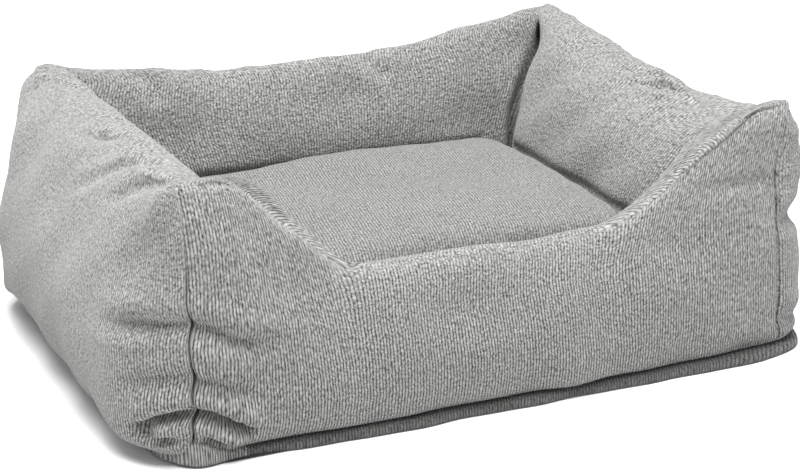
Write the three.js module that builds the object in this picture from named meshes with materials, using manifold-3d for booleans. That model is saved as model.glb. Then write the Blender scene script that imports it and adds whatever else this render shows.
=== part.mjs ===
// A rectangular pet bed: a ring of four stuffed bolsters on a flat quilted base, with a low entry
// in the front bolster and a loose zipped cushion in the nest.
// Millimetres, +Z up, front towards -Y. The origin is on the floor under the middle of the bed.
import * as THREE from 'three';
import { mergeVertices } from 'three/addons/utils/BufferGeometryUtils.js';
import Module from 'manifold-3d';

const wasm = await Module();
wasm.setup();

// ---- Driving dimensions ----
const GAP = 0.3;                 // between pieces that touch
const FABRIC = 2;                // thickness of the upholstery fabric with its lining
const FILLING_GAP = 2;           // between a cover and its filling

// Base, seen from above as rectangles with rounded corners
const LIP_HALF = [330, 250];     // outer half sizes of the flat hem round the base
const LIP_WIDTH = 13;
const SHEET_HALF = [324, 244];   // underside and top sheet
const BASE_CORNER = 62;
const DOT_HEIGHT = 0.8;
const DOT_RADIUS = 4;
const DOT_GRID = [7, 5];
const DOT_PITCH = [96, 96];
const UNDERSIDE_TOP = 2;
const WADDING_TOP = 8.2;
const TOP_SHEET_TOP = 9.7;

// Bolster ring, its corners seen from above and its height
const RING_HALF = [354, 247];    // outer faces of the ring
const CORNER_X = 306;            // the upright corner seams, inside the swell of the side bolsters
const CORNER_ROUND = 70;         // length over which a side bolster swells out from its corner seam
const RING_BOTTOM = TOP_SHEET_TOP + GAP;
const RIDGE_HEIGHT = 262;        // at the corner peaks
const BACK_RIGHT_RISE = 8;       // how much higher the back right peak stands
const BOW = 5;                   // how far the front and back faces swell between their corners
const MITRE_GAP = 0.5;
const THICKNESS = { side: 140, back: 74, front: 88 };
const SEAM_AT = 0.34;            // place of the ridge seam along the section
const SEAM_GAP = 0.0015;
const BACK_SAG = 24;
const RIGHT_SAG = 22;
const ENTRY_HEIGHT = 160;        // ridge of the front bolster at the entry
const ENTRY_LEFT = [-240, -146]; // where the front ridge starts and ends its way down
const ENTRY_RIGHT = [290, 110];

// Section of a bolster from the outer foot over the ridge to the inner foot:
// share of the thickness inwards, share of the height
const SECTION = new THREE.SplineCurve([
  new THREE.Vector2(0.07, 0),
  new THREE.Vector2(0, 0.24),
  new THREE.Vector2(0.04, 0.52),
  new THREE.Vector2(0.12, 0.78),
  new THREE.Vector2(0.23, 0.95),
  new THREE.Vector2(0.38, 1),
  new THREE.Vector2(0.58, 0.93),
  new THREE.Vector2(0.78, 0.74),
  new THREE.Vector2(0.93, 0.54),
  new THREE.Vector2(1, 0.36),
  new THREE.Vector2(0.93, 0.15),
  new THREE.Vector2(0.8, 0),
]);

// Cushion: loops of a rounded rectangle, each [inset from the widest loop, height]
const CUSHION_HALF = [209, 162];
const CUSHION_MIDDLE_Y = 7;
const CUSHION_CORNER = 34;
const CUSHION_SEAM_Z = 50;
const CUSHION_LOWER = [[34, 10.5], [24, 14], [17, 26], [17, CUSHION_SEAM_Z - 0.4]];
const CUSHION_UPPER = [
  [17, CUSHION_SEAM_Z + 0.4], [17, 64], [7, 82], [0, 104], [1, 124], [9, 137], [30, 144], [75, 147], [130, 148],
];

// Zip in the cushion's rear face, along X
const ZIP_HALF_LENGTH = 150;
const ZIP_FACE_Y = CUSHION_MIDDLE_Y + CUSHION_HALF[1] - CUSHION_LOWER[3][0];
const TAPE_WIDTH = 11;
const TAPE_THICKNESS = 0.8;
const COIL_WIDTH = 5.6;
const COIL_THICKNESS = 2.2;
const STOP_LENGTH = 3;
const SLIDER_LENGTH = 12;
const SLIDER_WALL = 1.2;
const SLIDER_START_X = -142;
const BRIDGE_LENGTH = 8.4;
const BRIDGE_WIDTH = 3;
const BRIDGE_CLEAR = 2.4;        // room under the bridge for the pull's bar
const PULL_LENGTH = 16;
const PULL_WIDTH = 8;
const PULL_THICKNESS = 1.4;
const PULL_WINDOW = [5, 4.6];

// ---- Colours ----
const KNIT = { color: 0xb4b4b0, roughness: 0.95, metalness: 0 };
const LINING = { color: 0x8c8c8a, roughness: 0.9, metalness: 0 };
const FIBRE = { color: 0xf2f0ea, roughness: 1, metalness: 0 };
const UNDERSIDE = { color: 0x2c2c2e, roughness: 0.85, metalness: 0 };
const TAPE = { color: 0x9a9a97, roughness: 0.8, metalness: 0 };
const PLASTIC = { color: 0x8f8f8d, roughness: 0.45, metalness: 0 };
const METAL = { color: 0xa8a8aa, roughness: 0.35, metalness: 1 };

// ---- Mesh helpers ----
const bed = new THREE.Group();

function add(name, geometry, finish, position = [0, 0, 0]) {
  const mesh = new THREE.Mesh(geometry, new THREE.MeshStandardMaterial(finish));
  mesh.name = name;
  mesh.position.set(...position);
  bed.add(mesh);
}

function geometryFrom(points, triangles) {
  const geometry = new THREE.BufferGeometry();
  geometry.setAttribute('position', new THREE.Float32BufferAttribute(points.flat(), 3));
  geometry.setIndex(triangles.flat());
  return geometry;
}

// Triangles between two rows of vertex numbers; a ring joins its last vertex to its first
function strip(lower, upper, ring) {
  const triangles = [];
  const steps = ring ? lower.length : lower.length - 1;
  for (let i = 0; i < steps; i += 1) {
    const next = (i + 1) % lower.length;
    triangles.push([lower[i], lower[next], upper[next]], [lower[i], upper[next], upper[i]]);
  }
  return triangles;
}

// Numbers the vertices of a grid of points, row by row, from a first number
function numbered(rows, first) {
  return rows.map((row, r) => row.map((_, c) => first + r * row.length + c));
}

// A sheet with a face of points and a back of points in the same rows, closed round its edges
function sheetSolid(face, back) {
  const faceRows = numbered(face, 0);
  const backRows = numbered(back, face.length * face[0].length);
  const last = face.length - 1;
  const end = face[0].length - 1;
  const triangles = [];
  for (let r = 0; r < last; r += 1) {
    triangles.push(...strip(faceRows[r], faceRows[r + 1], false));
    triangles.push(...strip(backRows[r + 1], backRows[r], false));
  }
  triangles.push(...strip(backRows[0], faceRows[0], false));
  triangles.push(...strip(faceRows[last], backRows[last], false));
  triangles.push(...strip(faceRows.map((row) => row[0]), backRows.map((row) => row[0]), false));
  triangles.push(...strip(backRows.map((row) => row[end]), faceRows.map((row) => row[end]), false));
  return geometryFrom([...face.flat(), ...back.flat()], triangles);
}

// Loops stacked from first to last, closed with a fan at each end
function loopSolid(loops) {
  const rows = numbered(loops, 0);
  const points = loops.flat();
  const triangles = [];
  for (let r = 0; r < rows.length - 1; r += 1) {
    triangles.push(...strip(rows[r], rows[r + 1], true));
  }
  const ends = [[...rows[0]].reverse(), rows[rows.length - 1]];
  for (const loop of ends) {
    const centre = [0, 1, 2].map((k) => loop.reduce((sum, v) => sum + points[v][k], 0) / loop.length);
    const hub = points.push(centre) - 1;
    loop.forEach((v, i) => triangles.push([v, loop[(i + 1) % loop.length], hub]));
  }
  return geometryFrom(points, triangles);
}

// A bowl from an outer and an inner stack of loops, closed at its first loops or at its last
function bowlSolid(outside, inside, closedFirst) {
  const downInside = [...inside].reverse();
  return loopSolid(closedFirst ? [...outside, ...downInside] : [...downInside, ...outside]);
}

function roundedRectangle(halfX, halfY, radius) {
  const shape = new THREE.Shape();
  shape.moveTo(halfX - radius, -halfY);
  shape.absarc(halfX - radius, radius - halfY, radius, -Math.PI / 2, 0);
  shape.absarc(halfX - radius, halfY - radius, radius, 0, Math.PI / 2);
  shape.absarc(radius - halfX, halfY - radius, radius, Math.PI / 2, Math.PI);
  shape.absarc(radius - halfX, radius - halfY, radius, Math.PI, 1.5 * Math.PI);
  return shape;
}

function extruded(shape, depth, curveSegments = 4) {
  return new THREE.ExtrudeGeometry(shape, { depth, bevelEnabled: false, curveSegments });
}

function toManifold(geometry) {
  const bare = geometry.clone();
  bare.deleteAttribute('normal');
  bare.deleteAttribute('uv');
  const merged = mergeVertices(bare, 1e-4);
  const vertProperties = new Float32Array(merged.attributes.position.array);
  const triVerts = new Uint32Array(merged.index.array);
  return new wasm.Manifold(new wasm.Mesh({ numProp: 3, vertProperties, triVerts }));
}

function fused(geometries) {
  const solid = geometries.map(toManifold).reduce((whole, piece) => whole.add(piece));
  const { vertProperties, triVerts } = solid.getMesh();
  const geometry = new THREE.BufferGeometry();
  geometry.setAttribute('position', new THREE.BufferAttribute(vertProperties, 3));
  geometry.setIndex(new THREE.BufferAttribute(triVerts, 1));
  return geometry;
}

// ---- Base ----
function addBase() {
  const sheet = roundedRectangle(...SHEET_HALF, BASE_CORNER);
  const underside = extruded(sheet, UNDERSIDE_TOP - DOT_HEIGHT).translate(0, 0, DOT_HEIGHT);
  add('base_underside', fused([underside, ...gripDots()]), UNDERSIDE);

  const inner = LIP_HALF.map((half) => half - LIP_WIDTH);
  const wadding = roundedRectangle(inner[0] - GAP, inner[1] - GAP, BASE_CORNER - LIP_WIDTH);
  const waddingBottom = UNDERSIDE_TOP + GAP;
  add('base_wadding', extruded(wadding, WADDING_TOP - waddingBottom), FIBRE, [0, 0, waddingBottom]);

  const lip = roundedRectangle(...LIP_HALF, BASE_CORNER);
  lip.holes.push(roundedRectangle(...inner, BASE_CORNER - LIP_WIDTH));
  add('base_lip', extruded(lip, WADDING_TOP - waddingBottom), KNIT, [0, 0, waddingBottom]);

  const sheetBottom = WADDING_TOP + GAP;
  add('base_top_sheet', extruded(sheet, TOP_SHEET_TOP - sheetBottom), LINING, [0, 0, sheetBottom]);
}

function gripDots() {
  const dots = [];
  const height = DOT_HEIGHT + 0.2;
  for (let i = 0; i < DOT_GRID[0]; i += 1) {
    for (let j = 0; j < DOT_GRID[1]; j += 1) {
      const x = (i - (DOT_GRID[0] - 1) / 2) * DOT_PITCH[0];
      const y = (j - (DOT_GRID[1] - 1) / 2) * DOT_PITCH[1];
      const dot = new THREE.CylinderGeometry(DOT_RADIUS, DOT_RADIUS, height, 8);
      dots.push(dot.rotateX(Math.PI / 2).translate(x, y, height / 2));
    }
  }
  return dots;
}

// ---- Bolster ring ----
function shares(from, to, steps) {
  return Array.from({ length: steps + 1 }, (_, i) => THREE.MathUtils.lerp(from, to, i / steps));
}

const OUTER_SHARES = shares(0, SEAM_AT - SEAM_GAP, 5);
const INNER_SHARES = shares(SEAM_AT + SEAM_GAP, 1, 7);
const SIDE_COLUMNS = [0, 0.03, 0.08, 0.15, 0.3, 0.5, 0.7, 0.85, 0.92, 0.97, 1];

// Half sizes of the corner seams' path from above, by share of the thickness inwards: the seams
// stand upright under the ridge and run inwards beyond it
function alongX(share) {
  return Math.min(CORNER_X, RING_HALF[0] - THICKNESS.side * share);
}

function alongFront(share) {
  return RING_HALF[1] - THICKNESS.front * share;
}

function alongBack(share) {
  return RING_HALF[1] - THICKNESS.back * share;
}

// How far a side bolster's face stands out from the line between its corner seams
function sideSwell(t, share) {
  const fromCorner = Math.min(t, 1 - t) * 2 * RING_HALF[1];
  const round = 1 - Math.max(0, 1 - fromCorner / CORNER_ROUND) ** 2;
  return (RING_HALF[0] - THICKNESS.side * share - alongX(share)) * Math.sqrt(round);
}

function entryShare(x) {
  const left = THREE.MathUtils.smoothstep(x, ...ENTRY_LEFT);
  const right = 1 - THREE.MathUtils.smoothstep(x, ENTRY_RIGHT[1], ENTRY_RIGHT[0]);
  return Math.min(left, right);
}

// Each wall runs from a start corner to an end corner, from left to right seen from outside
const WALLS = {
  back: {
    thickness: THICKNESS.back,
    columns: shares(0, 1, 10),
    ridge: (t) => RIDGE_HEIGHT + BACK_RIGHT_RISE * (1 - t) ** 2 - BACK_SAG * Math.sin(Math.PI * t),
    place: (along, out) => [-along, out],
    ends: [alongX, alongX],
    out: (share) => RING_HALF[1] - THICKNESS.back * share,
    swell: (t, share) => BOW * Math.sin(Math.PI * t) * Math.max(0, 1 - 2 * share),
  },
  front: {
    thickness: THICKNESS.front,
    columns: shares(0, 1, 22),
    ridge: (t) => RIDGE_HEIGHT - (RIDGE_HEIGHT - ENTRY_HEIGHT) * entryShare((2 * t - 1) * CORNER_X),
    place: (along, out) => [along, -out],
    ends: [alongX, alongX],
    out: (share) => RING_HALF[1] - THICKNESS.front * share,
    swell: (t, share) => BOW * Math.sin(Math.PI * t) * Math.max(0, 1 - 2 * share),
  },
  left: {
    thickness: THICKNESS.side,
    columns: SIDE_COLUMNS,
    ridge: () => RIDGE_HEIGHT,
    place: (along, out) => [-out, -along],
    ends: [alongBack, alongFront],
    out: alongX,
    swell: sideSwell,
  },
  right: {
    thickness: THICKNESS.side,
    columns: SIDE_COLUMNS,
    ridge: (t) => RIDGE_HEIGHT + BACK_RIGHT_RISE * t ** 2 - RIGHT_SAG * Math.sin(Math.PI * Math.sqrt(t)),
    place: (along, out) => [out, along],
    ends: [alongFront, alongBack],
    out: alongX,
    swell: sideSwell,
  },
};

// Point of a wall at share t of its length and s of its section, set in from the surface by a depth
// and back from the wall's ends
function wallPoint(wall, t, s, depth) {
  const at = SECTION.getPoint(s);
  const tangent = SECTION.getTangent(s);
  const rise = tangent.y * (wall.ridge(t) - RING_BOTTOM);
  const slope = new THREE.Vector2(tangent.x * wall.thickness, rise).normalize();
  const share = at.x + (slope.y * depth) / wall.thickness;
  const start = -wall.ends[0](share);
  const end = wall.ends[1](share);
  const setBack = MITRE_GAP + depth;
  const along = THREE.MathUtils.clamp(THREE.MathUtils.lerp(start, end, t), start + setBack, end - setBack);
  const reached = (along - start) / (end - start);
  const height = wall.ridge(reached) - RING_BOTTOM;
  const lowest = RING_BOTTOM + (depth > FABRIC ? GAP : 0);
  const z = Math.max(RING_BOTTOM + at.y * height - slope.x * depth, lowest);
  const out = wall.out(share) + wall.swell(reached, share);
  return [...wall.place(along, out), z];
}

function wallGrid(wall, sections, depth) {
  return sections.map((s) => wall.columns.map((t) => wallPoint(wall, t, s, depth)));
}

function addPanel(name, wall, sections) {
  add(name, sheetSolid(wallGrid(wall, sections, 0), wallGrid(wall, sections, FABRIC)), KNIT);
}

function addFilling(name, wall) {
  const grid = wallGrid(wall, [...OUTER_SHARES, ...INNER_SHARES], FABRIC + FILLING_GAP);
  const loops = grid[0].map((_, c) => grid.map((row) => row[c]).reverse());
  add(name, loopSolid(loops), FIBRE);
}

function addBolsters() {
  for (const [side, wall] of Object.entries(WALLS)) {
    addPanel(`${side}_bolster_outer_panel`, wall, OUTER_SHARES);
    addPanel(`${side}_bolster_inner_panel`, wall, INNER_SHARES);
    addFilling(`${side}_bolster_filling`, wall);
  }
}

// ---- Cushion ----
function cushionLoop([inset, z], depth, lift) {
  const halfX = CUSHION_HALF[0] - inset - depth;
  const halfY = CUSHION_HALF[1] - inset - depth;
  const radius = Math.min(CUSHION_CORNER, halfY - 1);
  const outline = roundedRectangle(halfX, halfY, radius).getPoints(3);
  outline.pop();
  return outline.map((p) => [p.x, p.y + CUSHION_MIDDLE_Y, z + lift]);
}

// Half a cover: a bowl with its open edge at the seam
function cushionCover(loops, closedFirst) {
  const outside = loops.map((loop) => cushionLoop(loop, 0, 0));
  const seam = closedFirst ? loops.length - 1 : 0;
  const away = closedFirst ? FABRIC : -FABRIC;
  const inside = loops.map((loop, i) => cushionLoop(loop, FABRIC, i === seam ? 0 : away));
  return bowlSolid(outside, inside, closedFirst);
}

function cushionFilling() {
  const depth = FABRIC + FILLING_GAP;
  const lower = CUSHION_LOWER.slice(0, -1).map((loop) => cushionLoop(loop, depth, depth));
  const upper = CUSHION_UPPER.slice(1).map((loop) => cushionLoop(loop, depth, -depth));
  return loopSolid([...lower, ...upper]);
}

function addCushion() {
  add('cushion_cover_lower', cushionCover(CUSHION_LOWER, true), KNIT);
  add('cushion_cover_upper', cushionCover(CUSHION_UPPER, false), KNIT);
  add('cushion_filling', cushionFilling(), FIBRE);
}

// ---- Zip ----
function block(x, y, z) {
  const [width, depth, height] = [x[1] - x[0], y[1] - y[0], z[1] - z[0]];
  const box = new THREE.BoxGeometry(width, depth, height);
  return box.translate(x[0] + width / 2, y[0] + depth / 2, z[0] + height / 2);
}

// Heights of the zip's layers above the cushion's rear face
const TAPE_Y = ZIP_FACE_Y + GAP;
const COIL_Y = TAPE_Y + TAPE_THICKNESS + GAP;
const PLATE_Y = COIL_Y + COIL_THICKNESS + GAP;
const BRIDGE_Y = PLATE_Y + SLIDER_WALL;
const PULL_Y = BRIDGE_Y + BRIDGE_CLEAR / 2;

function addZipLine() {
  const length = [-ZIP_HALF_LENGTH - STOP_LENGTH, ZIP_HALF_LENGTH + STOP_LENGTH];
  const tapeDepth = [TAPE_Y, TAPE_Y + TAPE_THICKNESS];
  const coilDepth = [COIL_Y, COIL_Y + COIL_THICKNESS];
  const upper = [CUSHION_SEAM_Z + GAP / 2, CUSHION_SEAM_Z + TAPE_WIDTH];
  const lower = [CUSHION_SEAM_Z - TAPE_WIDTH, CUSHION_SEAM_Z - GAP / 2];
  const coil = [CUSHION_SEAM_Z - COIL_WIDTH / 2, CUSHION_SEAM_Z + COIL_WIDTH / 2];
  add('zip_tape_upper', block(length, tapeDepth, upper), TAPE);
  add('zip_tape_lower', block(length, tapeDepth, lower), TAPE);
  add('zip_coil', block([-ZIP_HALF_LENGTH, ZIP_HALF_LENGTH], coilDepth, coil), PLASTIC);
  const stop = [ZIP_HALF_LENGTH + GAP, ZIP_HALF_LENGTH + STOP_LENGTH];
  add('zip_stop_right', block(stop, coilDepth, coil), METAL);
  add('zip_stop_left', block([-stop[1], -stop[0]], coilDepth, coil), METAL);
}

// A plate over the coil with a flange down each side of it, and a bridge that holds the pull
function sliderGeometry() {
  const halfLength = SLIDER_LENGTH / 2;
  const innerHalf = COIL_WIDTH / 2 + 2 * GAP;
  const outerHalf = innerHalf + SLIDER_WALL;
  const x = [-halfLength, halfLength];
  const flange = [COIL_Y, BRIDGE_Y];
  const bridgeZ = [-BRIDGE_WIDTH / 2, BRIDGE_WIDTH / 2];
  const halfBridge = BRIDGE_LENGTH / 2;
  const roof = BRIDGE_Y + BRIDGE_CLEAR;
  return fused([
    block(x, [PLATE_Y, BRIDGE_Y], [-outerHalf, outerHalf]),
    block(x, flange, [innerHalf, outerHalf]),
    block(x, flange, [-outerHalf, -innerHalf]),
    block([-halfBridge, halfBridge], [roof, roof + SLIDER_WALL], bridgeZ),
    block([-halfBridge, SLIDER_WALL - halfBridge], [BRIDGE_Y, roof], bridgeZ),
    block([halfBridge - SLIDER_WALL, halfBridge], [BRIDGE_Y, roof], bridgeZ),
  ]);
}

// A flat tab with a round bar at its end that lies under the bridge, and a window that clears the bridge
function pullGeometry() {
  const halfBar = PULL_THICKNESS / 2;
  const end = halfBar - PULL_LENGTH;
  const halfWidth = PULL_WIDTH / 2;
  const bar = new THREE.CylinderGeometry(halfBar, halfBar, PULL_WIDTH, 16);
  const tab = new THREE.Shape();
  tab.moveTo(0, -halfWidth);
  tab.lineTo(0, halfWidth);
  tab.lineTo(end + halfWidth, halfWidth);
  tab.absarc(end + halfWidth, 0, halfWidth, Math.PI / 2, 1.5 * Math.PI);
  const window = new THREE.Path();
  window.moveTo(-halfBar, -PULL_WINDOW[1] / 2);
  window.lineTo(-halfBar - PULL_WINDOW[0], -PULL_WINDOW[1] / 2);
  window.lineTo(-halfBar - PULL_WINDOW[0], PULL_WINDOW[1] / 2);
  window.lineTo(-halfBar, PULL_WINDOW[1] / 2);
  tab.holes.push(window);
  return fused([extruded(tab, PULL_THICKNESS).translate(0, 0, -halfBar), bar]).rotateX(-Math.PI / 2);
}

function addZip() {
  addZipLine();
  add('zip_slider', sliderGeometry(), METAL, [SLIDER_START_X, 0, CUSHION_SEAM_Z]);
  add('zip_pull', pullGeometry(), METAL, [SLIDER_START_X, PULL_Y, CUSHION_SEAM_Z]);
}

addBase();
addBolsters();
addCushion();
addZip();

export default bed;
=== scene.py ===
# Looks of a rectangular pet bed: four stuffed bolsters in a fine cord knit round a loose cushion.
# Metres, +Z up, front towards -Y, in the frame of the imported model.
import math

import bpy
import numpy as np
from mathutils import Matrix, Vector


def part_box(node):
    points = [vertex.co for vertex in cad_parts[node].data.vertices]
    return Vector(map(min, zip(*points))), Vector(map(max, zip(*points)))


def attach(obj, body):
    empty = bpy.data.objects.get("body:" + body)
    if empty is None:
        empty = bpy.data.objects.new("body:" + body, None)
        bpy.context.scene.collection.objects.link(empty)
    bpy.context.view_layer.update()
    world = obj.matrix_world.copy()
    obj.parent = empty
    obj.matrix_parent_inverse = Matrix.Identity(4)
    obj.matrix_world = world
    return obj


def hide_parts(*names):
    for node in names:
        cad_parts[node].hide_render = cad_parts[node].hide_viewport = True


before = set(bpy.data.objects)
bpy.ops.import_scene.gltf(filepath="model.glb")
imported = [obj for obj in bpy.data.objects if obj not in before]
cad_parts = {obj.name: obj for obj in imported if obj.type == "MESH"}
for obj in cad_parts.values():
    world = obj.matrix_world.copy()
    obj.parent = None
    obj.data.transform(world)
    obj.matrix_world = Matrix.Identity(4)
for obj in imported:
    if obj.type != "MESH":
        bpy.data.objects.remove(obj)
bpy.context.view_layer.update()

# ---- Driving values ----
CAMERA_AT = (-0.7997, -1.7917, 0.7979)
CAMERA_TARGET = (0.0448, 0.07, 0.07)
CAMERA_LENS = 90

# Ring of bolsters, from the CAD panels
BOW = 0.005                   # how far the front and back faces swell between their corners
FACE_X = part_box("right_bolster_outer_panel")[1].x
FACE_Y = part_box("back_bolster_outer_panel")[1].y - BOW
NEST_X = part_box("right_bolster_inner_panel")[0].x
NEST_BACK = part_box("back_bolster_inner_panel")[0].y
NEST_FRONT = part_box("front_bolster_inner_panel")[1].y
RING_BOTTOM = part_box("front_bolster_outer_panel")[0].z
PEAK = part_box("left_bolster_inner_panel")[1].z
BACK_RIGHT_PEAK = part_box("back_bolster_inner_panel")[1].z
SIDE_THICK = FACE_X - NEST_X
BACK_THICK = FACE_Y - NEST_BACK
FRONT_THICK = FACE_Y + NEST_FRONT
ENTRY_Z = 0.161               # ridge of the front bolster at the entry
ENTRY_LEFT = (-0.262, -0.138)     # where the entry's left slope starts and ends
ENTRY_RIGHT = (0.105, 0.290)      # where its right slope starts and ends
RIDGE_START, RIDGE_LENGTH = -0.300, 0.605     # the front ridge's start and its length

# Section of a bolster from the outer foot over the ridge to the inner foot:
# share of the thickness inwards, share of the height
SECTION = [
    (0.13, 0.0), (0.03, 0.04), (-0.005, 0.14), (0.0, 0.34), (0.06, 0.56), (0.15, 0.79), (0.25, 0.945),
    (0.38, 1.0), (0.56, 0.945), (0.76, 0.76), (0.92, 0.55), (1.0, 0.36), (0.95, 0.14), (0.84, 0.0),
]
RIDGE_SHARE = 0.38            # share of the thickness at which the ridge lies
SEAM_AT = 0.50                # place of the ridge seam along the section
SEAM_PRESS = 0.0026           # how far two walls' ends press into each other on the outside
SEAM_GAP = 0.0080             # how far the side bolsters' ends stand back from the others inside the nest
# How taut each bolster's cloth is pulled towards its ridge, which also takes painted shade out of its cord
# grooves: higher values make the bolster's knit lighter
RIDGE_TIGHT_AND_LIT = {"front": 0.45, "back": 0.8, "left": 0.9, "right": 0.9}
CREASE_X = 0.050              # how far the nest's corner seams lie outside its side faces
CREASE_Y = 0.008              # and outside its front and back faces
# Radii of the bolsters' rounded ends outside and inside the ring, by the axis that crosses the bolster
ROUND_END = {"x": (0.075, 0.040), "y": (0.045, 0.030)}
# The most that the simulation may swell each bolster
SWELL_CAP = {"front": 0.006, "back": 0.008, "left": 0.011, "right": 0.009}

# Half size in X of each upright corner seam at shares of the height
CORNER_SEAMS = {
    "front_left": ([0, 0.2, 0.8, 1], [0.297, 0.295, 0.296, 0.301]),
    "front_right": ([0, 0.1, 0.4, 0.75, 1], [0.330, 0.322, 0.318, 0.314, 0.334]),
    "back_right": ([0, 1], [0.310, 0.306]),
    "back_left": ([0, 1], [0.310, 0.304]),
}
# How far each corner seam is pushed out on its outside, and in at its inner shoulder
CORNER_PUSH = {
    "front_left": (0.0, 0.012),
    "front_right": (0.036, 0.0),
    "back_right": (0.0, 0.0),
    "back_left": (0.0, 0.004),
}
# How far the corner seams are drawn in from the front and back faces
SEAM_DRAW = {"front_left": 0.003, "front_right": 0.010, "back_right": 0.004, "back_left": 0.004}

# Folds pressed into the bolsters: the line each follows, its width and its depth, how far the cloth above
# it hangs over it, and the shares of the line over which its two ends fade
FOLDS = [
    # round the front left corner, from the middle of its height to its foot
    {"line": [(-0.350, -0.160, 0.124), (-0.349, -0.201, 0.134), (-0.333, -0.222, 0.139),
              (-0.311, -0.237, 0.139), (-0.293, -0.241, 0.135), (-0.272, -0.247, 0.126),
              (-0.255, -0.249, 0.118), (-0.230, -0.250, 0.112), (-0.198, -0.250, 0.110)],
     "width": 0.008, "depth": 0.0125, "hang": 0.006},
    {"line": [(-0.354, -0.195, 0.076), (-0.349, -0.215, 0.081), (-0.338, -0.228, 0.088),
              (-0.312, -0.241, 0.092), (-0.297, -0.240, 0.087), (-0.274, -0.247, 0.078),
              (-0.250, -0.250, 0.069), (-0.225, -0.251, 0.056)],
     "width": 0.007, "depth": 0.0085, "hang": 0.004},
    {"line": [(-0.346, -0.215, 0.038), (-0.333, -0.229, 0.050), (-0.321, -0.237, 0.055),
              (-0.310, -0.241, 0.057), (-0.297, -0.241, 0.057), (-0.281, -0.248, 0.051),
              (-0.257, -0.249, 0.037), (-0.238, -0.246, 0.024)],
     "width": 0.0065, "depth": 0.02, "hang": 0.010, "ends": (0.12, 0.15)},
    {"line": [(-0.344, -0.215, 0.036), (-0.324, -0.231, 0.032), (-0.306, -0.239, 0.031)],
     "width": 0.0034, "depth": 0.009},
    {"line": [(-0.295, -0.241, 0.030), (-0.274, -0.243, 0.021), (-0.248, -0.244, 0.011)],
     "width": 0.0034, "depth": 0.01},
    # beside and round the front right corner
    {"line": [(0.205, -0.240, 0.196), (0.247, -0.240, 0.191), (0.280, -0.238, 0.189),
              (0.300, -0.236, 0.190), (0.318, -0.234, 0.186)],
     "width": 0.0055, "depth": 0.005, "hang": 0.002, "ends": (0.6, 0.1)},
    {"line": [(0.325, -0.236, 0.214), (0.342, -0.222, 0.213), (0.356, -0.202, 0.211),
              (0.366, -0.170, 0.207)],
     "width": 0.01, "depth": 0.003, "ends": (0.1, 0.5)},
    {"line": [(0.320, -0.238, 0.142), (0.342, -0.225, 0.143), (0.358, -0.205, 0.141),
              (0.368, -0.160, 0.132)],
     "width": 0.009, "depth": 0.0075, "ends": (0.1, 0.5)},
    {"line": [(0.322, -0.240, 0.040), (0.345, -0.225, 0.036), (0.362, -0.200, 0.036),
              (0.370, -0.150, 0.040)],
     "width": 0.009, "depth": 0.005, "ends": (0.1, 0.5)},
    # fanning out from the front end of the right bolster over its ridge
    {"line": [(0.314, -0.123, 0.234), (0.320, -0.081, 0.233), (0.316, -0.041, 0.234),
              (0.303, -0.019, 0.237), (0.291, 0.011, 0.236), (0.278, 0.042, 0.232)],
     "width": 0.0052, "depth": 0.0078, "ends": (0.3, 0.6)},
    {"line": [(0.309, -0.127, 0.234), (0.308, -0.086, 0.231), (0.298, -0.055, 0.234),
              (0.288, -0.019, 0.228), (0.271, 0.002, 0.221), (0.257, 0.024, 0.212)],
     "width": 0.0054, "depth": 0.0084, "ends": (0.3, 0.6)},
    {"line": [(0.303, -0.132, 0.233), (0.303, -0.100, 0.231), (0.292, -0.074, 0.228),
              (0.277, -0.059, 0.221), (0.261, -0.046, 0.210)],
     "width": 0.0052, "depth": 0.0075, "ends": (0.3, 0.6)},
    {"line": [(0.298, -0.133, 0.230), (0.293, -0.107, 0.226), (0.281, -0.083, 0.217),
              (0.261, -0.078, 0.207), (0.249, -0.068, 0.193)],
     "width": 0.0054, "depth": 0.007, "ends": (0.3, 0.7)},
    {"line": [(0.305, -0.200, 0.258), (0.287, -0.193, 0.252), (0.268, -0.184, 0.238),
              (0.244, -0.176, 0.215)],
     "width": 0.007, "depth": 0.005},
    # fanning out from the front end of the left bolster over its ridge and outside
    {"line": [(-0.285, -0.201, 0.260), (-0.294, -0.177, 0.263), (-0.304, -0.140, 0.257),
              (-0.323, -0.110, 0.247), (-0.338, -0.066, 0.223), (-0.345, -0.010, 0.197)],
     "width": 0.0062, "depth": 0.0054, "ends": (0.2, 0.5)},
    {"line": [(-0.289, -0.218, 0.258), (-0.305, -0.208, 0.260), (-0.317, -0.181, 0.252),
              (-0.330, -0.153, 0.235), (-0.342, -0.114, 0.211)],
     "width": 0.0062, "depth": 0.0052, "ends": (0.2, 0.6)},
    {"line": [(-0.275, -0.135, 0.258), (-0.288, -0.114, 0.263), (-0.303, -0.064, 0.259),
              (-0.318, -0.027, 0.253), (-0.328, 0.045, 0.242)],
     "width": 0.0058, "depth": 0.0042, "ends": (0.3, 0.5)},
    {"line": [(-0.276, -0.076, 0.261), (-0.285, -0.013, 0.260), (-0.299, 0.008, 0.261),
              (-0.320, 0.025, 0.252)],
     "width": 0.006, "depth": 0.0034, "ends": (0.3, 0.5)},
    # at the back left peak
    {"line": [(-0.318, 0.226, 0.240), (-0.303, 0.205, 0.262), (-0.288, 0.170, 0.262),
              (-0.272, 0.140, 0.252), (-0.262, 0.118, 0.240)],
     "width": 0.0075, "depth": 0.0065},
    {"line": [(-0.330, 0.190, 0.238), (-0.312, 0.170, 0.260), (-0.294, 0.135, 0.264),
              (-0.278, 0.105, 0.256)],
     "width": 0.007, "depth": 0.0035},
    # on the back bolster
    {"line": [(-0.200, 0.219, 0.250), (-0.192, 0.204, 0.236), (-0.176, 0.190, 0.210)],
     "width": 0.01, "depth": 0.004},
    {"line": [(0.060, 0.219, 0.240), (0.072, 0.204, 0.228), (0.094, 0.190, 0.205)],
     "width": 0.01, "depth": 0.004},
]
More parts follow.
